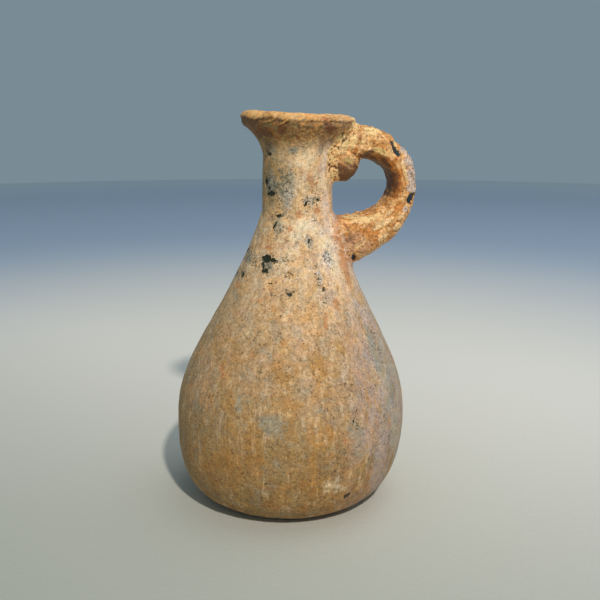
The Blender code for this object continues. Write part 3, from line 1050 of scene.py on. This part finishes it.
def crumb_colour(graph):
    """Pale grains, with painted shade in the hollows between them and dark flecks."""
    grains = graph.mix(graph.patches(1.8, 17, 0.42, 0.58), HONEY, BRIGHT)
    hollow_shade = graph.ramp(graph.attribute("hollow"), 0.55, 1.0)
    return graph.mix(graph.most(hollow_shade, graph.patches(0.7, 16, 0.56, 0.66)), grains, UMBER)


def root_colour(graph):
    """The mottled rust where the handle's root runs out on the shoulder."""
    return graph.mix(graph.patches(1.4, 34, 0.48, 0.6, 0.7), RUST, PEARL)


def lay_ground(graph, height, upper):
    """The vessel's ground: tan and pink, earthy low down and sandy above, in soft patches."""
    upright = graph.squeezed(0.22)
    graph.colour = graph.mix(graph.patches(15, 1, 0.38, 0.62), TAN, PINK)
    graph.lay(graph.ramp(height, 54, 12, 0.82), EARTH)
    graph.lay(upper, SAND)
    graph.lay(upper * graph.patches(3.4, 17, 0.46, 0.6, 0.6), STRAW)
    graph.lay(graph.patches(6.0, 2, 0.48, 0.64, 0.75, upright), graph.mix(upper, OCHRE, STRAW))
    graph.lay(graph.ramp(height, 110, 40) * graph.patches(4.6, 8, 0.52, 0.66, 0.5), CLOUD)
    low = graph.ramp(height, 46, 10)
    graph.lay(low * graph.patches(3.6, 3, 0.44, 0.64, 0.6, upright), BROWN)
    graph.lay(graph.ramp(height, 0, 70) * graph.patches(2.6, 5, 0.54, 0.68, 0.5), CREAM)
    graph.lay(graph.patches(1.7, 6, 0.52, 0.66, 0.42), BROWN)
    graph.lay(graph.patches(3.0, 10, 0.54, 0.68, 0.4), RUST)
    graph.lay(graph.patches(1.6, 19, 0.5, 0.64, 0.4, upright), EARTH)
    graph.lay(graph.patches(2.0, 20, 0.54, 0.66, 0.4, upright), SAND)


def lay_sides(graph, side, height, upper):
    """Mauve streaks on the handle's side, paler on the neck there, and a greyer edge there, partly painted
    light; painted shade on the other side, and grime with painted shade on the neck's other side.
    """
    streaks = graph.patches(4.2, 7, 0.38, 0.56, 0.8, graph.squeezed(0.3))
    # Streaks on the handle's side, paler higher up: partly crust colour, partly painted light
    right = graph.most(graph.ramp(side, 6, 24), upper * graph.ramp(side, 3, 12))
    graph.lay(right * streaks, graph.mix(upper, MAUVE, PEARL))
    # Painted shade: the side away from the handle a little darker
    graph.lay(graph.ramp(side, 0, -24, 0.2), OLIVE)
    # Grime and painted shade on the neck's side away from the handle
    dirt_and_shade = graph.ramp(side, 3, -6, 0.62) + graph.patches(3.0, 18, 0.46, 0.62, 0.25)
    dirt_and_shade = graph.ramp(side, 8, 2) * dirt_and_shade
    graph.lay(graph.ramp(height, 86, 96) * dirt_and_shade, OLIVE)
    # A greyer, paler edge on the handle's side: partly crust colour, partly painted light
    edge = graph.patches(3.6, 9, 0.4, 0.58, 0.8, graph.squeezed(0.22))
    graph.lay(graph.ramp(side, 18, 31) * edge, HAZE)


def lay_vessel_stains(graph, side, height, upper):
    """The soft stains. The grey ones are paler on the shoulder and the lower neck, from the middle on."""
    graph.lay(graph.stain("cream", 1.5, 1.6, 21, 0.25, 0.85, 0.8), CREAM)
    pale = graph.ramp(side, -5, 0) * graph.ramp(height, 60, 68) * graph.ramp(height, 101, 97)
    graph.lay(graph.stain("grey", 1.4, 1.3, 22, 0.25, 0.8, 0.75), graph.mix(pale, GREY, MIST))
    graph.lay(graph.stain("rust", 1.0, 1.6, 23, 0.25, 0.8, 0.8), RUST)
    graph.lay(graph.stain("ochre", 1.1, 2.4, 29, 0.25, 0.85, 0.75), graph.mix(upper, OCHRE, STRAW))


def lay_rim(graph, side):
    """The rim: dark brown under the fold, golden on the lip, with rust, painted shade in the creases, along
    the fold and to the left underneath, and painted highlights on the crests.
    """
    under = graph.mix(graph.patches(2.4, 11, 0.42, 0.58), CHESTNUT, OLIVE)
    golden = graph.ramp(side, -10, 6) * graph.patches(1.2, 28, 0.44, 0.56, 0.8)
    under = graph.mix(golden, under, GOLD)
    under = graph.mix(graph.patches(0.7, 36, 0.55, 0.65, 0.45), under, UMBER)
    # Painted shade: the underside darker towards the left
    under = graph.mix(graph.ramp(side, -4, -14, 0.5), under, UMBER)
    graph.lay(graph.attribute("under") * 0.9, under)
    lip = graph.mix(graph.patches(2.4, 15, 0.46, 0.6, 0.7), GOLD, ORANGE)
    graph.lay(graph.attribute("lip") * 0.85, lip)
    rim = graph.most(graph.attribute("under"), graph.attribute("lip"))
    graph.lay(rim * graph.stain("rust", 1.0, 1.6, 39, 0.25, 0.8, 0.7), WINE)
    # Painted shade in the creases and along the fold
    graph.lay(graph.attribute("crease") * 0.6, UMBER)
    # Painted highlight on the crests
    graph.lay(graph.attribute("crest_highlight") * 0.9, CREST_GLINT)


def vessel_pits(graph):
    """Round pits and small flecks, denser in some places than in others."""
    round_pits = graph.most(graph.pits(1.6, 1, 0.28, 0.2), graph.pits(1.1, 2, 0.28, 0.25))
    dense = graph.patches(9.0, 41, 0.4, 0.58, 0.65) + 0.35
    flecks = graph.patches(7.0, 14, 0.4, 0.56) * graph.patches(0.85, 12, 0.6, 0.67, 0.9)
    return graph.most(round_pits * dense, flecks)


def vessel_material():
    graph = Graph("vessel_crust")
    side = graph.axis(0)
    height = graph.axis(2)
    upper = graph.ramp(height, 46, 82, 0.92)
    lay_ground(graph, height, upper)
    lay_sides(graph, side, height, upper)
    lay_vessel_stains(graph, side, height, upper)
    lay_rim(graph, side)
    graph.lay(graph.stain("weld", 1.0, 1.6, 33, 0.15, 0.75, 0.9), root_colour(graph))
    # Brown stains, partly painted shade under the rim
    graph.lay(graph.stain("brown", 0.8, 1.8, 24, 0.2, 0.8, 0.65), graph.mix(upper, BROWN, UMBER))
    graph.tint(2.6, 37)
    graph.tint(7.0, 38)
    graph.shade(graph.uneven(((6.0, 0.02), (3.5, 0.05), (1.2, 0.08), (0.55, 0.11), (0.3, 0.06)), 30))
    pits = vessel_pits(graph)
    graph.lay(pits * 0.75, PIT)
    graph.lay(graph.patches(0.7, 13, 0.6, 0.68, 0.25), CREAM)
    specks = graph.most(graph.flecks("pepper", 0.6, 25, 0.13), graph.flecks("pepper", 1.1, 35, 0.1))
    graph.lay(specks * 0.8, PEPPER)
    graph.lay(graph.stain("crumb", 0.8, 1.0, 27, 0.4, 0.66), crumb_colour(graph))
    bare = graph.stain("bare", 1.9, 0.7, 26, 0.45, 0.55)
    graph.lay(bare, GLASS)
    # The inside, a darker brown all over
    graph.lay(graph.attribute("inside") * 0.75, INSIDE_BROWN)
    roughness = graph.blend(bare, CRUST_ROUGHNESS, GLASS_ROUGHNESS)
    dents = graph.most(graph.most(pits, specks) * 0.4, bare)
    return graph.finish(roughness, graph.grain(1.3, 0.45, 0.7) - dents, VESSEL_BUMP)


def lay_handle_stains(graph):
    """The handle's stains, each kind in its own colour; the pale yellow ones are painted highlights."""
    flake = graph.mix(graph.patches(1.1, 5, 0.5, 0.62, 0.7), FLAKE, ORANGE)
    dull = graph.mix(graph.patches(0.9, 8, 0.46, 0.6, 0.6), DRAB, RUSSET)
    graph.lay(graph.stain("rust", 0.9, 1.5, 21, 0.3, 0.7, 0.85), AMBER)
    graph.lay(graph.stain("flake", 0.6, 1.0, 22, 0.4, 0.55, 0.95), flake)
    graph.lay(graph.stain("dull", 1.3, 1.6, 40, 0.2, 0.8, 0.8), dull)
    graph.lay(graph.stain("green", 0.7, 1.5, 23, 0.3, 0.65, 0.9), GREEN)
    graph.lay(graph.stain("cream", 0.9, 1.1, 24, 0.35, 0.65, 0.85), LUMP)
    # Painted highlights
    graph.lay(graph.stain("painted_highlight", 0.7, 1.0, 28, 0.3, 0.7, 0.9), BRIGHT)


def inner_colour(graph):
    """The strap's inner face: amber at its near edge, and from there on dark brown, which is grime with
    painted shade.
    """
    near = graph.mix(graph.patches(2.2, 6, 0.42, 0.6, 0.35), TOFFEE, RUSSET)
    far = graph.mix(graph.patches(1.8, 7, 0.46, 0.6, 0.6), GRIME_AND_SHADE, BROWN)
    return graph.mix(graph.ramp(graph.axis(1), -5.5, -3), near, far)


def handle_material():
    graph = Graph("handle_crust")
    graph.colour = graph.mix(graph.patches(4.5, 1, 0.4, 0.6), HONEY, ORANGE)
    graph.lay(graph.patches(2.6, 2, 0.5, 0.66, 0.6), AMBER)
    graph.lay(graph.patches(1.4, 3, 0.52, 0.64, 0.7), LUMP)
    graph.lay(graph.patches(1.8, 4, 0.5, 0.64, 0.78), RUSSET)
    lay_handle_stains(graph)
    # Grime with painted shade on the strap's inner face
    graph.lay(graph.attribute("inner") * 0.9, inner_colour(graph))
    # Brown stains, partly painted shade on the blob and the strap's inner face
    graph.lay(graph.stain("brown", 0.8, 1.4, 25, 0.25, 0.75, 0.88), UMBER)
    graph.shade(graph.uneven(((1.8, 0.07), (0.8, 0.14), (0.38, 0.11)), 30))
    pits = graph.most(graph.pits(1.8, 1, 0.2, 0.22), graph.patches(0.8, 12, 0.58, 0.66, 0.8))
    graph.lay(pits * 0.7, RUSSET)
    graph.lay(graph.stain("crumb", 0.8, 1.0, 27, 0.4, 0.66), crumb_colour(graph))
    graph.lay(graph.stain("weld", 1.0, 1.6, 33, 0.2, 0.8, 0.75), root_colour(graph))
    bare = graph.stain("bare", 1.8, 0.8, 26, 0.46, 0.54)
    graph.lay(bare, TEAL)
    roughness = graph.blend(bare, TRAIL_ROUGHNESS, GLASS_ROUGHNESS)
    dents = graph.most(pits * 0.6, bare)
    return graph.finish(roughness, graph.grain(1.2, 0.4, 0.6) - dents, HANDLE_BUMP)


# The floor and the light

FLOOR_RADIUS = 1.32
FLOOR_SEGMENTS = 96
FLOOR_ROUGHNESS = 0.9
FLOOR_BUMP = 0.0001
FLOOR_GAP = 0.00005
FLOOR_POOL_LIGHT = linear(240, 233, 222)
FLOOR_FRONT_SHADE = linear(169, 171, 159)
FLOOR_FAR = linear(176, 191, 211)
FLOOR_EDGE = linear(202, 214, 220)

# Where the floor's colours change, in millimetres: a painted pool of light round its centre, and painted
# shade along the front
LIGHT_POOL_CENTRE = (0.0, 100.0, 0.0)
LIGHT_POOL_BLUR = (100, 500)
EDGE_BLUR = (850, 1300)
FRONT_WAY = (0.6, 1.0, 0.0)
FRONT_BLUR = (200, -160)

BACKDROP = linear(121, 140, 150)
KEY_PLACE = Vector((0.094, -0.704, 0.74))
KEY_SIZE = 0.05
KEY_POWER = 6.6
KEY_COLOUR = (1.0, 0.95, 0.88)
FILL_PLACE = Vector((0.3, 0.1, 1.0))
FILL_SIZE = 0.8
FILL_POWER = 2.1
FILL_COLOUR = (0.95, 0.97, 1.0)
AIM = Vector((0.0, 0.0, 0.05))


def build_floor():
    shape = bmesh.new()
    bmesh.ops.create_circle(shape, cap_ends=True, segments=FLOOR_SEGMENTS, radius=FLOOR_RADIUS)
    mesh = bpy.data.meshes.new("floor")
    shape.to_mesh(mesh)
    shape.free()
    floor = add_object("floor", mesh)
    floor.location.z = -FLOOR_GAP
    graph = Graph("floor")
    span = graph.vector("DISTANCE", graph.place, LIGHT_POOL_CENTRE, "Value")
    # A painted pool of light, fading to blue-grey far off
    graph.colour = graph.mix(graph.ramp(span, *LIGHT_POOL_BLUR), FLOOR_POOL_LIGHT, FLOOR_FAR)
    graph.lay(graph.ramp(span, *EDGE_BLUR), FLOOR_EDGE)
    front = graph.vector("DOT_PRODUCT", graph.place, FRONT_WAY, "Value")
    # Painted shade along the front
    graph.lay(graph.ramp(front, *FRONT_BLUR), FLOOR_FRONT_SHADE)
    mesh.materials.append(graph.finish(FLOOR_ROUGHNESS, graph.noise(1.5, 1), FLOOR_BUMP))


def area_light(name, place, size, power, colour):
    data = bpy.data.lights.new(name, "AREA")
    data.shape = "DISK"
    data.size = size
    data.energy = power
    data.color = colour
    light = add_object(name, data)
    light.location = place
    light.rotation_euler = (AIM - place).to_track_quat("-Z", "Y").to_euler()


def build_light():
    world = bpy.data.worlds.new("backdrop")
    world.use_nodes = True
    world.node_tree.nodes["Background"].inputs["Color"].default_value = BACKDROP
    bpy.context.scene.world = world
    bpy.context.scene.view_settings.view_transform = "Standard"
    area_light("key", KEY_PLACE, KEY_SIZE, KEY_POWER, KEY_COLOUR)
    area_light("fill", FILL_PLACE, FILL_SIZE, FILL_POWER, FILL_COLOUR)


camera = make_camera()
vessel_form = build_vessel(camera)
build_handle(camera, vessel_form)
build_floor()
build_light()
